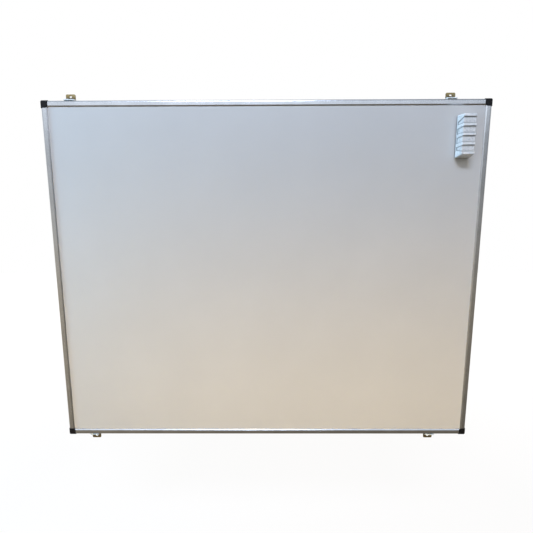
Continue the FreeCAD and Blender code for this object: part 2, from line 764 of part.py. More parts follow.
def boolean(kind, name, base, tool):
    result = doc.addObject("Part::" + kind, name)
    result.Base = base
    result.Tool = tool
    return result


def join(name, shapes):
    fused = doc.addObject("Part::MultiFuse", name)
    fused.Shapes = shapes
    return fused


def make_eraser_shell(label):
    """A drafted shell with ribs round its front and sides, hollow at the back for the foam and the felt."""
    radius = "eraser_corner_radius"
    envelope = draft_loft(
        "eraser_envelope",
        [
            ("eraser_rim", "eraser_half_width", "eraser_half_length", radius),
            ("eraser_shoulder", "eraser_front_half_width", "eraser_front_half_length", radius),
            ("eraser_depth", "front_edge_half_width", "front_edge_half_length", "front_edge_radius"),
        ],
    )
    core = draft_loft(
        "eraser_core",
        [
            ("eraser_rim", "core_half_width", "core_half_length", radius),
            ("recess_depth", "core_front_half_width", "core_front_half_length", radius),
        ],
    )
    stations = eraser_sketch("eraser_rib_stations", turn=ACROSS)
    reach = (RIB_COUNT - 1) // 2
    for count in range(1 - reach, reach):
        centre = ("rib_pitch",) * count if count > 0 else ("-rib_pitch",) * -count
        draw_outline(
            stations,
            [
                ("eraser_rim", centre + ("-rib_root_half",)),
                ("recess_depth", centre + ("-rib_root_half",)),
                ("eraser_depth", centre + ("-rib_crest_half",)),
                ("eraser_depth", centre + ("rib_crest_half",)),
                ("recess_depth", centre + ("rib_root_half",)),
                ("eraser_rim", centre + ("rib_root_half",)),
            ],
        )
    for side in (terms, minus):
        draw_outline(
            stations,
            [
                ("eraser_rim", side("end_rib_back")),
                ("recess_depth", side("end_rib_root")),
                ("eraser_depth", side("end_rib_crest")),
                ("eraser_depth", side("end_rib_far")),
                ("eraser_rim", side("end_rib_far")),
            ],
        )
    rib_blocks = raise_sketch("eraser_rib_blocks", stations, "eraser_width", symmetric=True)
    ribs = boolean("Common", "eraser_ribs", envelope, rib_blocks)
    skirt_block = rounded_block(
        "eraser_skirt_block", "eraser_rim", "skirt_height", "eraser_half_width", "eraser_half_length", radius
    )
    skirt = boolean("Common", "eraser_skirt", envelope, skirt_block)
    body = join("eraser_body", [core, ribs, skirt])
    felt_room = rounded_block(
        "eraser_felt_room", "eraser_rim", "felt_room_depth", "felt_room_half_width", "felt_room_half_length",
        "felt_radius",
    )
    foam_room = rounded_block(
        "eraser_foam_room", "felt_back", "foam_thickness", "foam_room_half_width", "foam_room_half_length",
        "felt_radius",
    )
    hollow = rounded_block(
        "eraser_hollow", "foam_front", "hollow_depth", "hollow_half_width", "hollow_half_length", "felt_radius"
    )
    rooms = join("eraser_rooms", [felt_room, foam_room, hollow])
    parts.append(boolean("Cut", label, body, rooms))


def make_eraser_felt(label):
    parts.append(
        rounded_block(label, "felt_gap", "felt_thickness", "felt_half_width", "felt_half_length", "felt_radius")
    )


def draw_magnet_places(sketch, half_x, half_z):
    for centre in ("magnet_place", "-magnet_place"):
        draw_box(sketch, minus(half_x), half_x, (centre,) + minus(half_z), (centre, half_z))


def make_eraser_foam(label):
    sketch = eraser_sketch(label + "_outline", "felt_back")
    draw_rounded_box(sketch, "foam_half_width", "foam_half_length", "felt_radius")
    draw_magnet_places(sketch, "window_half_width", "window_half_length")
    parts.append(raise_sketch(label, sketch, "foam_thickness"))


def make_eraser_magnets(label):
    sketch = eraser_sketch(label + "_outline", "felt_back")
    draw_magnet_places(sketch, "magnet_half_width", "magnet_half_length")
    parts.append(raise_sketch(label, sketch, "magnet_thickness"))


def export_parts():
    """Stop on any failed feature or bad shape, then write one file for each sub-part."""
    doc.recompute()
    for thing in doc.Objects:
        if "Invalid" in thing.State or "Error" in thing.State:
            raise RuntimeError("%s failed: %s" % (thing.Label, thing.State))
    for part in parts:
        if part.Shape.isNull() or not part.Shape.isValid():
            raise RuntimeError("%s has no valid shape" % part.Label)
    os.makedirs("parts", exist_ok=True)
    for part in parts:
        part.Shape.exportStep(os.path.join("parts", part.Label + ".step"))
        print("%-28s %2d solid  %12.1f mm3" % (part.Label, len(part.Shape.Solids), part.Shape.Volume))


make_panel_layer("writing_sheet", "core_front", "sheet_thickness")
make_panel_layer("core_board", "core_back", "core_thickness")
make_panel_layer("backing_sheet", "panel_back", "backing_thickness")

make_rail("rail_top", "rail_length_x", "rail_station_x", 0, "board_x", "rail_half_height")
make_rail("rail_right", "rail_length_z", "screw_station_z", 90, "rail_right_x", ZERO)
make_rail("rail_bottom", "rail_length_x", "rail_station_x", 180, "board_x", "-rail_half_height")
make_rail("rail_left", "rail_length_z", "screw_station_z", 270, "rail_left_x", ZERO)

make_cap("corner_cap_top_right", 0, "board_right", "half_height")
make_cap("corner_cap_bottom_right", 90, "board_right", "-half_height")
make_cap("corner_cap_bottom_left", 180, "board_left", "-half_height")
make_cap("corner_cap_top_left", 270, "board_left", "half_height")
make_corner_screws("corner_screws")

for level, angle, rail_height in (("top", 0, "rail_half_height"), ("bottom", 180, "-rail_half_height")):
    for side, bracket_place in (("left", "-bracket_x"), ("right", "bracket_x")):
        make_bracket_shoe("bracket_shoe_%s_%s" % (level, side), angle, bracket_place, rail_height)
        make_bracket_plate("bracket_plate_%s_%s" % (level, side), angle, bracket_place, rail_height)

make_eraser_shell("eraser_shell")
make_eraser_felt("eraser_felt")
make_eraser_foam("eraser_foam")
make_eraser_magnets("eraser_magnets")

export_parts()
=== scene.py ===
"""Looks of the framed wall whiteboard: finishes, soft eraser pads, screws, light and camera, in metres."""

import math
import random

import bmesh
import bpy
from mathutils import Matrix, Vector, noise


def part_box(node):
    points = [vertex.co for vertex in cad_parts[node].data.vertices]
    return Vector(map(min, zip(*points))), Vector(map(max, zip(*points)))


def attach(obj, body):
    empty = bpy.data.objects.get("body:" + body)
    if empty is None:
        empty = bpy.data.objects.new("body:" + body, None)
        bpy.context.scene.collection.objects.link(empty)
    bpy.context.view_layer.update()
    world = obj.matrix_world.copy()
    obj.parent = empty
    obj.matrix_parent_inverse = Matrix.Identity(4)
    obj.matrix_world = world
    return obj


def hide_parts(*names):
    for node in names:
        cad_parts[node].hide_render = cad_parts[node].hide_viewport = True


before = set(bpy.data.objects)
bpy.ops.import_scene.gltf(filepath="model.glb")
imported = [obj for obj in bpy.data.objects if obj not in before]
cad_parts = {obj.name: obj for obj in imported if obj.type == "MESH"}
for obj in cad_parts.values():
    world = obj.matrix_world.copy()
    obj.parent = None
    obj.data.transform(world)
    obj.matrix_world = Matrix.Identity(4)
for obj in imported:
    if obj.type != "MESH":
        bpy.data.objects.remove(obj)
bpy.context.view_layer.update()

MM = 0.001

# The photograph's frame, and a camera fitted to the board's four corners. Its focal length is then raised by
# about half a percent, to share out the bow of the photograph's lens.
PHOTO_SIDE_PX = 533
FOCAL_PX = 301.6
SENSOR_MM = 36.0
CAMERA_PLACE_MM = (24.9, -1074.2, 172.3)
CAMERA_PITCH_DEG = 7.04
CAMERA_YAW_DEG = 0.26
CAMERA_ROLL_DEG = -0.15

# The pale floor, well below the hung board. To the eye it is whiter than it is lit, and most so far away.
FLOOR_DROP_MM = 1300.0
FLOOR_REACH_MM = 9000.0
FLOOR_LIFT = (0.87, 1.0)
FLOOR_FADE_MM = (1500.0, 5000.0)

# Soft lamps: place, aim and size in millimetres, spread in degrees, power in watts, colour, and whether metal
# mirrors the lamp.
LAMPS = {
    "overhead_key": ((-450, -2900, 3500), (0, 0, 0), (2200, 900), 180, 151.0, "#dae6ff", True),
    "long_front": ((0, -3000, 2150), (0, 0, 600), (8000, 800), 180, 30.0, "#eaf1ff", True),
    "cool_left": ((-2400, -380, 600), (600, 0, 400), (500, 1400), 180, 54.0, "#aadcff", False),
    "warm_low_fill": ((250, -2500, -700), (150, 0, -530), (2600, 500), 52, 6.3, "#ffdc98", False),
    "back_fill": ((500, 2700, 1400), (0, 0, 0), (3000, 1500), 180, 90.0, "#fff6ec", False),
}

# The soft dome round the object: its strength and colour at the horizon and overhead.
DOME_HORIZON = 0.07
DOME_ZENITH = 0.36
DOME_COLOURS = ("#fff6ea", "#fffaf3")

# The room that shiny surfaces mirror, by the way they face: its tones from low to high, warm and dark near the
# floor and cool overhead, and its strength from left to right.
ROOM_HEIGHTS = (-0.6, 0.6)
ROOM_TONES = ((0.0, "#94897a"), (0.35, "#c8bca9"), (0.55, "#d3d3d2"), (0.8, "#dde7f4"))
ROOM_WIDTHS = (-0.7, 0.7)
ROOM_STRENGTH = (1.4, 0.7)

# The kinds of node that the finishes share.
NOISE = "ShaderNodeTexNoise"
CELLS = "ShaderNodeTexVoronoi"
MAPPING = "ShaderNodeMapping"
RAMP = "ShaderNodeValToRGB"
MAP_RANGE = "ShaderNodeMapRange"
BUMP = "ShaderNodeBump"
SHELTER = "ShaderNodeAmbientOcclusion"
MATH = "ShaderNodeMath"

# The felt pad: a dense sheet whose cut edge is a little uneven and hairy.
FELT_CORNER_MM = 2.5
FELT_STEP_MM = 1.6
FELT_LEVELS = 9
FELT_SOFT_EDGE_MM = 0.45
FELT_UNEVEN_MM = 0.16
FELT_LUMP_MM = 2.2
FIBRE_COUNT = 1500
FIBRE_LENGTH_MM = (0.5, 1.3)
FIBRE_RADIUS_MM = 0.035
FIBRE_LEAN = 0.8
FIBRE_MARGIN = 0.12

# The foam carrier behind the felt, with a window for each magnet.
FOAM_FIT_MM = 0.2
FOAM_SOFT_EDGE_MM = 0.5

# The short pan-head screws at the back of the frame.
SCREW_SHANK_RADIUS_MM = 1.45
SCREW_HEAD_MM = 1.3
SCREW_RIM_SHARE = 0.45
SCREW_SIDES = 32
SCREW_HEAD_RINGS = 6
SCREW_PITCH_MM = 0.9
SCREW_THREAD_MM = 0.18
CROSS_WIDTH_MM = 0.8
CROSS_REACH_MM = 1.6
CROSS_DEPTH_MM = 0.7


def linear(hex_colour):
    """A hex sRGB colour as linear red, green, blue and alpha."""
    channels = []
    for start in (1, 3, 5):
        value = int(hex_colour[start:start + 2], 16) / 255
        channels.append(value / 12.92 if value <= 0.04045 else ((value + 0.055) / 1.055) ** 2.4)
    return (*channels, 1.0)


def per_size(size_mm):
    """The pattern scale that repeats about once in a real size."""
    return 1.0 / (size_mm * MM)


def grain(size_mm, detail=3.0, rough=0.55):
    """Noise values whose grain has a real size."""
    return {"Scale": per_size(size_mm), "Detail": detail, "Roughness": rough}


def span(low, high, start=0.3, end=0.7):
    """Values that map a factor between start and end to a range."""
    return {"From_Min": start, "From_Max": end, "To_Min": low, "To_Max": high}


def add_node(tree, kind, links=(), settings=(), stops=(), **sockets):
    """A node with its settings, ramp stops, constants and links. A linked node gives its first output."""
    node = tree.nodes.new(kind)
    for name, value in dict(settings).items():
        setattr(node, name, value)
    for name, value in sockets.items():
        node.inputs[name.replace("_", " ")].default_value = value
    for name, source in dict(links).items():
        output = source.outputs[0] if hasattr(source, "outputs") else source
        tree.links.new(output, node.inputs[name])
    for here, (position, colour) in enumerate(stops):
        elements = node.color_ramp.elements
        element = elements[here] if here < len(elements) else elements.new(position)
        element.position = position
        element.color = linear(colour)
    return node


def new_material(name):
    """An empty node material and its object coordinates."""
    material = bpy.data.materials.new(name)
    material.use_nodes = True
    tree = material.node_tree
    tree.nodes.clear()
    place = add_node(tree, "ShaderNodeTexCoord").outputs["Object"]
    return material, tree, place


def shade(tree, links, **sockets):
    """The surface of a material, with its patterns linked and its other values set."""
    surface = add_node(tree, "ShaderNodeBsdfPrincipled", links, **sockets)
    add_node(tree, "ShaderNodeOutputMaterial", {"Surface": surface})


def white_enamel():
    """Fired white enamel on steel: a hard gloss coat with a faint ripple, hazed in wide wiping strokes."""
    material, tree, place = new_material("white_enamel_on_steel")
    wide = add_node(tree, MAPPING, {"Vector": place}, Scale=(0.35, 1.0, 1.0))
    strokes = add_node(tree, NOISE, {"Vector": wide}, **grain(90.0))
    haze = add_node(tree, NOISE, {"Vector": place}, **grain(240.0, detail=4.0))
    ripple = add_node(tree, NOISE, {"Vector": place}, **grain(30.0, detail=1.0))
    whites = ((0.3, "#c9c9c7"), (0.55, "#cbcbc9"), (0.75, "#cdcdcb"))
    colour = add_node(tree, RAMP, {"Fac": haze}, stops=whites)
    gloss = add_node(tree, MAP_RANGE, {"Value": strokes}, **span(0.25, 0.27, 0.0, 1.0))
    relief = add_node(tree, BUMP, {"Height": ripple}, Distance=0.012 * MM)
    links = {"Base Color": colour, "Roughness": gloss, "Normal": relief}
    shade(tree, links, Coat_Weight=0.5, Coat_Roughness=0.06)
    return material


def anodised_aluminium(along):
    """Extruded aluminium, etched and anodised: a satin silver with fine die lines along the rail."""
    material, tree, place = new_material("anodised_aluminium_along_" + along)
    drawn_out = (0.003, 1.0, 1.0) if along == "x" else (1.0, 1.0, 0.003)
    streak = add_node(tree, MAPPING, {"Vector": place}, Scale=drawn_out)
    # Real die lines are about a tenth of a millimetre apart. They are drawn coarser so that they show.
    lines = add_node(tree, NOISE, {"Vector": streak}, **grain(0.9, rough=0.7))
    cloud = add_node(tree, NOISE, {"Vector": place}, **grain(70.0))
    colour = add_node(tree, RAMP, {"Fac": cloud}, stops=((0.3, "#a5a7a9"), (0.7, "#b1b3b5")))
    gloss = add_node(tree, MAP_RANGE, {"Value": lines}, **span(0.2, 0.3))
    relief = add_node(tree, BUMP, {"Height": lines}, Distance=0.004 * MM)
    shade(tree, {"Base Color": colour, "Roughness": gloss, "Normal": relief}, Metallic=1.0)
    return material


def black_plastic():
    """Injection-moulded black ABS with a spark-eroded grain: a soft broad sheen, paler where it is rubbed."""
    material, tree, place = new_material("black_moulded_abs")
    # The real grain is about 0.2 mm. It is drawn coarser so that it shows.
    pits = add_node(tree, NOISE, {"Vector": place}, **grain(0.7, detail=2.0))
    rubbed = add_node(tree, NOISE, {"Vector": place}, **grain(9.0))
    colour = add_node(tree, RAMP, {"Fac": rubbed}, stops=((0.35, "#0c0c0e"), (0.7, "#161618")))
    gloss = add_node(tree, MAP_RANGE, {"Value": rubbed}, **span(0.42, 0.56))
    relief = add_node(tree, BUMP, {"Height": pits}, Distance=0.03 * MM)
    shade(tree, {"Base Color": colour, "Roughness": gloss, "Normal": relief}, Specular_IOR_Level=0.15)
    return material


def yellow_zinc():
    """Yellow-passivated zinc on steel strip: a dull brownish metal, with painted shade that darkens it beside
    the rail.
    """
    material, tree, place = new_material("yellow_passivated_zinc")
    cast = add_node(tree, NOISE, {"Vector": place}, **grain(7.0))
    along_strip = add_node(tree, MAPPING, {"Vector": place}, Scale=(0.06, 1.0, 1.0))
    # Rolling marks are drawn coarser than the real ones so that they show.
    rolled = add_node(tree, NOISE, {"Vector": along_strip}, **grain(0.8, detail=2.0))
    unshaded_zinc = add_node(tree, RAMP, {"Fac": cast}, stops=((0.3, "#776d50"), (0.5, "#8f8059"), (0.7, "#807c65")))
    # Painted shade: the metal turns dark brown where the rail and shoe shelter it from light.
    shelter = add_node(tree, SHELTER, settings={"samples": 8}, Distance=14.0 * MM).outputs["AO"]
    unshaded_share = add_node(tree, MAP_RANGE, {"Value": shelter}, **span(0.0, 1.0, 0.65, 0.98))
    painted_shade_colour = linear("#2b2720")
    colour = add_node(tree, "ShaderNodeMix", {"Factor": unshaded_share, "B": unshaded_zinc}, {"data_type": "RGBA"}, A=painted_shade_colour)
    gloss = add_node(tree, MAP_RANGE, {"Value": rolled}, **span(0.34, 0.5))
    relief = add_node(tree, BUMP, {"Height": rolled}, Distance=0.015 * MM)
    shade(tree, {"Base Color": colour.outputs["Result"], "Roughness": gloss, "Normal": relief}, Metallic=1.0)
    return material


def white_nylon():
    """Moulded natural nylon: a cool milky white that lets a little light in, with a faint satin sheen."""
    material, tree, place = new_material("milky_white_nylon")
    milk = add_node(tree, NOISE, {"Vector": place}, **grain(5.0, detail=2.0))
    colour = add_node(tree, RAMP, {"Fac": milk}, stops=((0.3, "#d7e0e1"), (0.7, "#e6eced")))
    gloss = add_node(tree, MAP_RANGE, {"Value": milk}, **span(0.36, 0.46))
    shade(
        tree,
        {"Base Color": colour, "Roughness": gloss},
        Subsurface_Weight=0.15,
        Subsurface_Radius=(0.6 * MM, 0.6 * MM, 0.7 * MM),
        Subsurface_Scale=1.0,
    )
    return material


def white_abs():
    """Moulded white ABS: a soft gloss, with painted shade that greys it between the ribs."""
    material, tree, place = new_material("white_ribbed_abs")
    settings = {"samples": 8, "only_local": True}
    # Painted shade: the shell greys, a little unevenly, where its own ribs and recesses shelter it.
    shelter = add_node(tree, SHELTER, settings=settings, Distance=22.0 * MM).outputs["AO"]
    mottle = add_node(tree, NOISE, {"Vector": place}, **grain(6.0, detail=4.0))
    uneven = add_node(tree, MAP_RANGE, {"Value": mottle}, **span(-0.05, 0.05))
    painted_shade_mask = add_node(tree, MATH, {0: shelter, 1: uneven}, {"operation": "ADD"})
    shaded_to_lit = ((0.5, "#8f9192"), (0.93, "#b9bcbd"), (1.0, "#f0f2f2"))
    colour = add_node(tree, RAMP, {"Fac": painted_shade_mask}, stops=shaded_to_lit)
    pits = add_node(tree, NOISE, {"Vector": place}, **grain(0.8, detail=1.0))
    gloss = add_node(tree, MAP_RANGE, {"Value": mottle}, **span(0.26, 0.4))
    relief = add_node(tree, BUMP, {"Height": pits}, Distance=0.01 * MM)
    shade(tree, {"Base Color": colour, "Roughness": gloss, "Normal": relief})
    return material


def grey_felt():
    """Pressed wool felt: dark, dead matt and fibrous, with paler hairs through it."""
    material, tree, place = new_material("dark_wool_felt")
    pressed = add_node(tree, MAPPING, {"Vector": place}, Scale=(1.0, 0.35, 1.0))
    matted = add_node(tree, NOISE, {"Vector": pressed}, **grain(0.9, detail=5.0, rough=0.7))
    hairs = ((0.3, "#2b2825"), (0.6, "#4a4540"), (0.8, "#6b655d"))
    colour = add_node(tree, RAMP, {"Fac": matted}, stops=hairs)
    relief = add_node(tree, BUMP, {"Height": matted}, Distance=0.25 * MM)
    links = {"Base Color": colour, "Normal": relief}
    shade(tree, links, Roughness=0.95, Sheen_Weight=0.4, Sheen_Roughness=0.6)
    return material


def grey_foam():
    """Open-cell foam: matt grey with a sponge of small dark cells."""
    material, tree, place = new_material("open_cell_grey_foam")
    cells = add_node(tree, CELLS, {"Vector": place}, Scale=per_size(0.9)).outputs["Distance"]
    colour = add_node(tree, RAMP, {"Fac": cells}, stops=((0.1, "#3c3c3e"), (0.5, "#77777a")))
    relief = add_node(tree, BUMP, {"Height": cells}, Distance=0.3 * MM)
    shade(tree, {"Base Color": colour, "Normal": relief}, Roughness=0.9)
    return material


def galvanised_steel():
    """Hot-dip galvanised sheet: a grey metal broken into angular crystal spangles."""
    material, tree, place = new_material("spangled_galvanised_steel")
    spangle = add_node(tree, CELLS, {"Vector": place}, Scale=per_size(14.0)).outputs["Color"]
    tone = add_node(tree, "ShaderNodeSeparateColor", {"Color": spangle}).outputs["Red"]
    colour = add_node(tree, RAMP, {"Fac": tone}, stops=((0.0, "#b4b9bc"), (0.5, "#bec3c6"), (1.0, "#c8ccd0")))
    gloss = add_node(tree, MAP_RANGE, {"Value": tone}, **span(0.34, 0.56, 0.0, 1.0))
    shade(tree, {"Base Color": colour, "Roughness": gloss}, Metallic=0.9)
    return material


def fibreboard():
    """Raw fibreboard: matt brown, made of short pressed fibres."""
    material, tree, place = new_material("raw_fibreboard")
    pressed = add_node(tree, MAPPING, {"Vector": place}, Scale=(0.4, 1.0, 1.0))
    fibres = add_node(tree, NOISE, {"Vector": pressed}, **grain(1.5, detail=5.0, rough=0.7))
    colour = add_node(tree, RAMP, {"Fac": fibres}, stops=((0.3, "#8a6c4c"), (0.7, "#b3946d")))
    relief = add_node(tree, BUMP, {"Height": fibres}, Distance=0.1 * MM)
    shade(tree, {"Base Color": colour, "Normal": relief}, Roughness=0.85)
    return material


def ferrite():
    """Sintered ferrite magnet: dense charcoal with a dry ceramic sheen."""
    material, tree, place = new_material("sintered_ferrite")
    grit = add_node(tree, NOISE, {"Vector": place}, **grain(0.6))
    colour = add_node(tree, RAMP, {"Fac": grit}, stops=((0.3, "#242427"), (0.7, "#3a3a3e")))
    gloss = add_node(tree, MAP_RANGE, {"Value": grit}, **span(0.5, 0.7))
    shade(tree, {"Base Color": colour, "Roughness": gloss})
    return material


def bright_zinc():
    """Bright zinc-plated steel: a cool silver with small dull patches."""
    material, tree, place = new_material("bright_zinc_plate")
    patches = add_node(tree, NOISE, {"Vector": place}, **grain(1.5, detail=2.0))
    colour = add_node(tree, RAMP, {"Fac": patches}, stops=((0.3, "#a9adb2"), (0.7, "#c3c7cb")))
    gloss = add_node(tree, MAP_RANGE, {"Value": patches}, **span(0.22, 0.4))
    shade(tree, {"Base Color": colour, "Roughness": gloss}, Metallic=1.0)
    return material


def dress(node, material):
    """Give a CAD node its finish."""
    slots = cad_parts[node].data.materials
    slots.clear()
    slots.append(material)


def new_piece(name, shape, body, material):
    """A Blender piece that rides on a body."""
    mesh = bpy.data.meshes.new(name)
    shape.to_mesh(mesh)
    shape.free()
    mesh.materials.append(material)
    piece = bpy.data.objects.new(name, mesh)
    bpy.context.scene.collection.objects.link(piece)
    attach(piece, body)
    return piece


def rounded_outline(half_x, half_z, radius, step):
    """Points round a rectangle with rounded corners, about a step apart."""
    points = []
    corners = ((1, -1, -90), (1, 1, 0), (-1, 1, 90), (-1, -1, 180))
    turns = max(3, round(radius * math.pi / 2 / step))
    for here, (side_x, side_z, first) in enumerate(corners):
        centre = Vector((side_x * (half_x - radius), side_z * (half_z - radius)))
        for turn in range(turns + 1):
            angle = math.radians(first + 90 * turn / turns)
            points.append(centre + radius * Vector((math.cos(angle), math.sin(angle))))
        next_x, next_z, next_first = corners[(here + 1) % len(corners)]
        angle = math.radians(next_first)
        end = Vector((next_x * (half_x - radius), next_z * (half_z - radius)))
        end += radius * Vector((math.cos(angle), math.sin(angle)))
        start = points[-1]
        count = max(1, round((end - start).length / step))
        points += [start.lerp(end, part / count) for part in range(1, count)]
    return points


def soft_inset(part, soft):
    """How far a soft edge draws in at a share of the height: nothing in the middle, most at both faces."""
    return soft * (2 * abs(part - 0.5)) ** 4


def felt_pad():
    """The felt, cut from thick sheet: its edge bulges between both faces and is uneven."""
    low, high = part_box("eraser_felt")
    middle = (low + high) / 2
    half_x = (high.x - low.x) / 2 - FELT_UNEVEN_MM * MM
    half_z = (high.z - low.z) / 2 - FELT_UNEVEN_MM * MM
    shape = bmesh.new()
    rings = []
    for level in range(FELT_LEVELS):
        part = level / (FELT_LEVELS - 1)
        inset = soft_inset(part, FELT_SOFT_EDGE_MM * MM)
        depth = high.y + (low.y - high.y) * part
        ring = []
        for point in rounded_outline(half_x, half_z, FELT_CORNER_MM * MM, FELT_STEP_MM * MM):
            place = Vector((middle.x + point.x, depth, middle.z + point.y))
            uneven = noise.noise(place * per_size(FELT_LUMP_MM)) * FELT_UNEVEN_MM * MM
            outwards = Vector((point.x / half_x, 0, point.y / half_z)).normalized()
            ring.append(shape.verts.new(place + outwards * (uneven - inset)))
        rings.append(ring)
    bridge_rings(shape, rings)
    shape.faces.new(rings[0])
    shape.faces.new(reversed(rings[-1]))
    add_fibres(shape, middle, half_x, half_z, low, high)
    bmesh.ops.recalc_face_normals(shape, faces=shape.faces)
    piece = new_piece("felt_pad", shape, "eraser", finishes["felt"])
    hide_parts("eraser_felt")


def bridge_rings(shape, rings):
    """Quads between rings that have the same number of points."""
    for below, above in zip(rings, rings[1:]):
        for here in range(len(below)):
            after = (here + 1) % len(below)
            shape.faces.new((below[here], below[after], above[after], above[here]))


def add_fibres(shape, middle, half_x, half_z, low, high):
    """Short hairs that stand out of the felt's cut edge, each a thin three-sided spike."""
    draw = random.Random(7)
    outline = rounded_outline(half_x, half_z, FELT_CORNER_MM * MM, FELT_STEP_MM * MM)
    for _ in range(FIBRE_COUNT):
        here = draw.randrange(len(outline))
        point = outline[here].lerp(outline[(here + 1) % len(outline)], draw.random())
        depth = low.y + draw.uniform(FIBRE_MARGIN, 1 - FIBRE_MARGIN) * (high.y - low.y)
        outwards = Vector((point.x / half_x, 0, point.y / half_z)).normalized()
        root = Vector((middle.x + point.x, depth, middle.z + point.y)) - outwards * FELT_SOFT_EDGE_MM * MM
        lean = Vector((draw.uniform(-1, 1), draw.uniform(-0.5, 0.5), draw.uniform(-1, 1)))
        tip = root + (outwards + lean * FIBRE_LEAN).normalized() * draw.uniform(*FIBRE_LENGTH_MM) * MM
        tip.y = min(max(tip.y, low.y), high.y)
        side = outwards.cross(Vector((0, 1, 0))).normalized() * FIBRE_RADIUS_MM * MM
        lift = Vector((0, FIBRE_RADIUS_MM * MM, 0))
        foot = [shape.verts.new(root + offset) for offset in (side, -side, lift)]
        end = shape.verts.new(tip)
        for one in range(3):
            shape.faces.new((foot[one], foot[(one + 1) % 3], end))
        shape.faces.new(reversed(foot))


def foam_carrier():
    """The foam between the felt and the shell: soft-edged, with a window round each magnet."""
    low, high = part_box("eraser_foam")
    magnet_low, magnet_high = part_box("eraser_magnets")
    middle = (low + high) / 2
    half_x = (high.x - low.x) / 2
    half_z = (high.z - low.z) / 2
    window_x = (magnet_high.x - magnet_low.x) / 2 + FOAM_FIT_MM * MM
    window_far = (magnet_high.z - magnet_low.z) / 2 + FOAM_FIT_MM * MM
    window_near = window_edge("eraser_magnets", middle.z) - FOAM_FIT_MM * MM
    columns = [-half_x, -window_x, window_x, half_x]
    rows = [-half_z, -window_far, -window_near, window_near, window_far, half_z]
    shape = bmesh.new()
    grid = [[shape.verts.new((middle.x + x, high.y, middle.z + z)) for x in columns] for z in rows]
    windows = {(1, 1), (3, 1)}
    for row in range(len(rows) - 1):
        for column in range(len(columns) - 1):
            if (row, column) in windows:
                continue
            near, far = grid[row], grid[row + 1]
            shape.faces.new((near[column], near[column + 1], far[column + 1], far[column]))
    front = bmesh.ops.extrude_face_region(shape, geom=shape.faces[:])
    moved = [item for item in front["geom"] if isinstance(item, bmesh.types.BMVert)]
    bmesh.ops.translate(shape, verts=moved, vec=Vector((0, low.y - high.y, 0)))
    bmesh.ops.recalc_face_normals(shape, faces=shape.faces)
    sharp = [edge for edge in shape.edges if edge.calc_face_angle(0.0) > math.radians(60)]
    bmesh.ops.bevel(
        shape,
        geom=sharp,
        offset=FOAM_SOFT_EDGE_MM * MM,
        segments=3,
        profile=0.5,
        affect="EDGES",
        clamp_overlap=True,
    )
    piece = new_piece("foam_carrier", shape, "eraser", finishes["foam"])
    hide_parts("eraser_foam")


def window_edge(node, centre):
    """How near a pair of equal pieces comes to the middle between them."""
    return min(abs(vertex.co.z - centre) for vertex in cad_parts[node].data.vertices)


def screw_places():
    """The middle, back and tip of each screw in the CAD group, worked out from its separate solids."""
    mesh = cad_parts["corner_screws"].data
    shape = bmesh.new()
    shape.from_mesh(mesh)
    bmesh.ops.remove_doubles(shape, verts=shape.verts, dist=0.001 * MM)
    places = []
    waiting = set(shape.verts)
    while waiting:
        island = [waiting.pop()]
        for vertex in island:
            for edge in vertex.link_edges:
                other = edge.other_vert(vertex)
                if other in waiting:
                    waiting.remove(other)
                    island.append(other)
        low = Vector([min(vertex.co[axis] for vertex in island) for axis in range(3)])
        high = Vector([max(vertex.co[axis] for vertex in island) for axis in range(3)])
        places.append((low, high))
    shape.free()
    return sorted(places, key=lambda place: tuple(place[0]))


def pan_head_screw(shape, low, high, shank_radius, head_height):
    """One screw along Y: a domed head at the back with a cross recess, and a threaded shank."""
    centre = (low + high) / 2
    head_radius = (high.x - low.x) / 2
    rim = head_height * SCREW_RIM_SHARE
    profile = []
    for ring in range(1, SCREW_HEAD_RINGS + 1):
        angle = math.pi / 2 * ring / SCREW_HEAD_RINGS
        profile.append((head_radius * math.sin(angle), high.y - (head_height - rim) * (1 - math.cos(angle))))
    profile.append((head_radius, high.y - head_height))
    profile.append((shank_radius, high.y - head_height))
    run = high.y - head_height - low.y
    turns = max(2, round(run / (SCREW_PITCH_MM * MM)))
    for turn in range(turns):
        root = shank_radius - SCREW_THREAD_MM * MM
        start = high.y - head_height - run * turn / turns
        profile.append((root, start - 0.3 * run / turns))
        profile.append((shank_radius, start - 0.65 * run / turns))
        profile.append((root, start - run / turns))
    rings = []
    for radius, depth in profile:
        ring = []
        for side in range(SCREW_SIDES):
            angle = 2 * math.pi * side / SCREW_SIDES
            x, z = radius * math.cos(angle), radius * math.sin(angle)
            sunk = depth
            in_cross = min(abs(x), abs(z)) < CROSS_WIDTH_MM * MM / 2 and radius < CROSS_REACH_MM * MM
            if in_cross and depth > high.y - rim:
                sunk -= CROSS_DEPTH_MM * MM
            ring.append(shape.verts.new((centre.x + x, sunk, centre.z + z)))
        rings.append(ring)
    bridge_rings(shape, rings)
    top = shape.verts.new((centre.x, high.y - CROSS_DEPTH_MM * MM, centre.z))
    for side in range(SCREW_SIDES):
        shape.faces.new((top, rings[0][(side + 1) % SCREW_SIDES], rings[0][side]))
    shape.faces.new(rings[-1])


def corner_screws():
    """The screws that pin the caps' tongues, with domed heads and threads."""
    shape = bmesh.new()
    for low, high in screw_places():
        pan_head_screw(shape, low, high, SCREW_SHANK_RADIUS_MM * MM, SCREW_HEAD_MM * MM)
    bmesh.ops.recalc_face_normals(shape, faces=shape.faces)
    piece = new_piece("pan_head_screws", shape, "board", finishes["screw"])
    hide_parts("corner_screws")


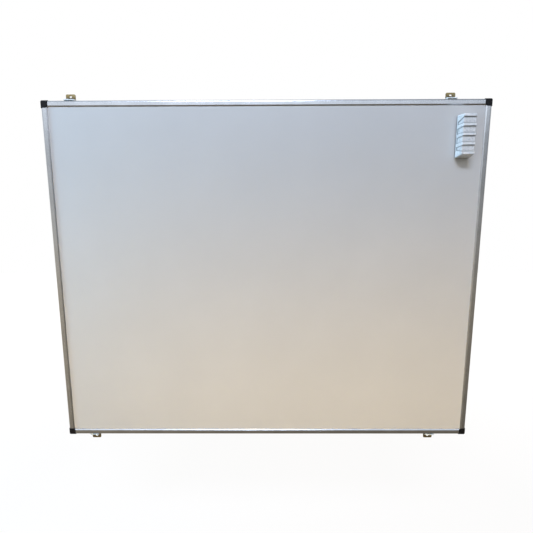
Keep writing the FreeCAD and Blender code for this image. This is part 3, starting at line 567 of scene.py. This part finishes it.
def pale_floor():
    """A plain pale floor well below the board. It keeps the soft shadow and isn't mirrored."""
    material, tree, place = new_material("pale_floor")
    reach = add_node(tree, "ShaderNodeVectorMath", {0: place}, {"operation": "LENGTH"}).outputs["Value"]
    near_mm, far_mm = FLOOR_FADE_MM
    whiter = add_node(tree, MAP_RANGE, {"Value": reach}, **span(*FLOOR_LIFT, near_mm * MM, far_mm * MM))
    lift = add_node(tree, MATH, {0: seen_directly(tree), 1: whiter}, {"operation": "MULTIPLY"})
    colours = {"Base_Color": linear("#565350"), "Emission_Color": linear("#ffffff")}
    shade(tree, {"Emission Strength": lift}, Roughness=0.9, **colours)
    shape = bmesh.new()
    bmesh.ops.create_grid(shape, x_segments=1, y_segments=1, size=FLOOR_REACH_MM * MM)
    mesh = bpy.data.meshes.new("floor")
    shape.to_mesh(mesh)
    shape.free()
    mesh.materials.append(material)
    floor = bpy.data.objects.new("floor", mesh)
    floor.location = (0, 0, -FLOOR_DROP_MM * MM)
    floor.visible_glossy = False
    bpy.context.scene.collection.objects.link(floor)


def seen_directly(tree):
    """One for rays that show the surround to the eye, and zero for rays that light."""
    path = add_node(tree, "ShaderNodeLightPath")
    rays = {0: path.outputs["Is Camera Ray"], 1: path.outputs["Is Transmission Ray"]}
    return add_node(tree, MATH, rays, {"operation": "MAXIMUM"})


def soft_lamp(name, place_mm, aim_mm, size_mm, spread_deg, power, colour, mirrored):
    """A large soft studio lamp that faces a point."""
    data = bpy.data.lights.new(name, "AREA")
    data.shape = "RECTANGLE"
    data.size = size_mm[0] * MM
    data.size_y = size_mm[1] * MM
    data.spread = math.radians(spread_deg)
    data.energy = power
    data.color = linear(colour)[:3]
    lamp = bpy.data.objects.new(name, data)
    place = Vector(place_mm) * MM
    lamp.location = place
    lamp.rotation_euler = (Vector(aim_mm) * MM - place).to_track_quat("-Z", "Y").to_euler()
    lamp.visible_camera = False
    lamp.visible_glossy = mirrored
    bpy.context.scene.collection.objects.link(lamp)


def studio_light():
    """The soft lamps, and a surround: a dome that lights, a room that is mirrored, and white for the eye."""
    for name, settings in LAMPS.items():
        soft_lamp(name, *settings)
    world = bpy.data.worlds.new("white_surround")
    bpy.context.scene.world = world
    world.use_nodes = True
    tree = world.node_tree
    tree.nodes.clear()
    direction = add_node(tree, "ShaderNodeTexCoord").outputs["Generated"]
    split = add_node(tree, "ShaderNodeSeparateXYZ", {"Vector": direction})
    sideways, upwards = split.outputs["X"], split.outputs["Z"]
    sky = ((0.0, DOME_COLOURS[0]), (0.8, DOME_COLOURS[1]))
    dome_colour = add_node(tree, RAMP, {"Fac": upwards}, stops=sky)
    dome_strength = add_node(tree, MAP_RANGE, {"Value": upwards}, **span(DOME_HORIZON, DOME_ZENITH, 0.0, 1.0))
    dome = add_node(tree, "ShaderNodeBackground", {"Color": dome_colour, "Strength": dome_strength})
    height = add_node(tree, MAP_RANGE, {"Value": upwards}, **span(0.0, 1.0, *ROOM_HEIGHTS))
    room_colour = add_node(tree, RAMP, {"Fac": height}, stops=ROOM_TONES)
    room_strength = add_node(tree, MAP_RANGE, {"Value": sideways}, **span(*ROOM_STRENGTH, *ROOM_WIDTHS))
    room = add_node(tree, "ShaderNodeBackground", {"Color": room_colour, "Strength": room_strength})
    mirrored = add_node(tree, "ShaderNodeLightPath").outputs["Is Glossy Ray"]
    lit = add_node(tree, "ShaderNodeMixShader", {0: mirrored, 1: dome, 2: room})
    white = add_node(tree, "ShaderNodeBackground", Color=linear("#ffffff"), Strength=1.0)
    surround = add_node(tree, "ShaderNodeMixShader", {0: seen_directly(tree), 1: lit, 2: white})
    add_node(tree, "ShaderNodeOutputWorld", {"Surface": surround})


def photo_camera():
    """The camera at the photograph's place, turned as it was held."""
    data = bpy.data.cameras.new("photo_camera")
    data.sensor_fit = "HORIZONTAL"
    data.sensor_width = SENSOR_MM
    data.lens = FOCAL_PX / PHOTO_SIDE_PX * SENSOR_MM
    data.clip_start = 0.01
    data.clip_end = 100.0
    camera = bpy.data.objects.new("photo_camera", data)
    turn = Matrix.Rotation(math.radians(CAMERA_YAW_DEG), 4, "Z")
    turn = turn @ Matrix.Rotation(math.radians(90 - CAMERA_PITCH_DEG), 4, "X")
    turn = turn @ Matrix.Rotation(math.radians(CAMERA_ROLL_DEG), 4, "Z")
    camera.matrix_world = Matrix.Translation(Vector(CAMERA_PLACE_MM) * MM) @ turn
    bpy.context.scene.collection.objects.link(camera)
    bpy.context.scene.camera = camera


finishes = {
    "enamel": white_enamel(),
    "aluminium_x": anodised_aluminium("x"),
    "aluminium_z": anodised_aluminium("z"),
    "black": black_plastic(),
    "zinc": yellow_zinc(),
    "nylon": white_nylon(),
    "shell": white_abs(),
    "felt": grey_felt(),
    "foam": grey_foam(),
    "galvanised": galvanised_steel(),
    "fibreboard": fibreboard(),
    "magnet": ferrite(),
    "screw": bright_zinc(),
}

dress("writing_sheet", finishes["enamel"])
dress("core_board", finishes["fibreboard"])
dress("backing_sheet", finishes["galvanised"])
for side in ("top", "bottom"):
    dress("rail_" + side, finishes["aluminium_x"])
for side in ("left", "right"):
    dress("rail_" + side, finishes["aluminium_z"])
for level in ("top", "bottom"):
    for side in ("left", "right"):
        corner = level + "_" + side
        dress("corner_cap_" + corner, finishes["black"])
        dress("bracket_plate_" + corner, finishes["zinc"])
        dress("bracket_shoe_" + corner, finishes["nylon"])
dress("eraser_shell", finishes["shell"])
dress("eraser_magnets", finishes["magnet"])

felt_pad()
foam_carrier()
corner_screws()
pale_floor()
studio_light()
photo_camera()
bpy.context.scene.view_settings.view_transform = "Standard"
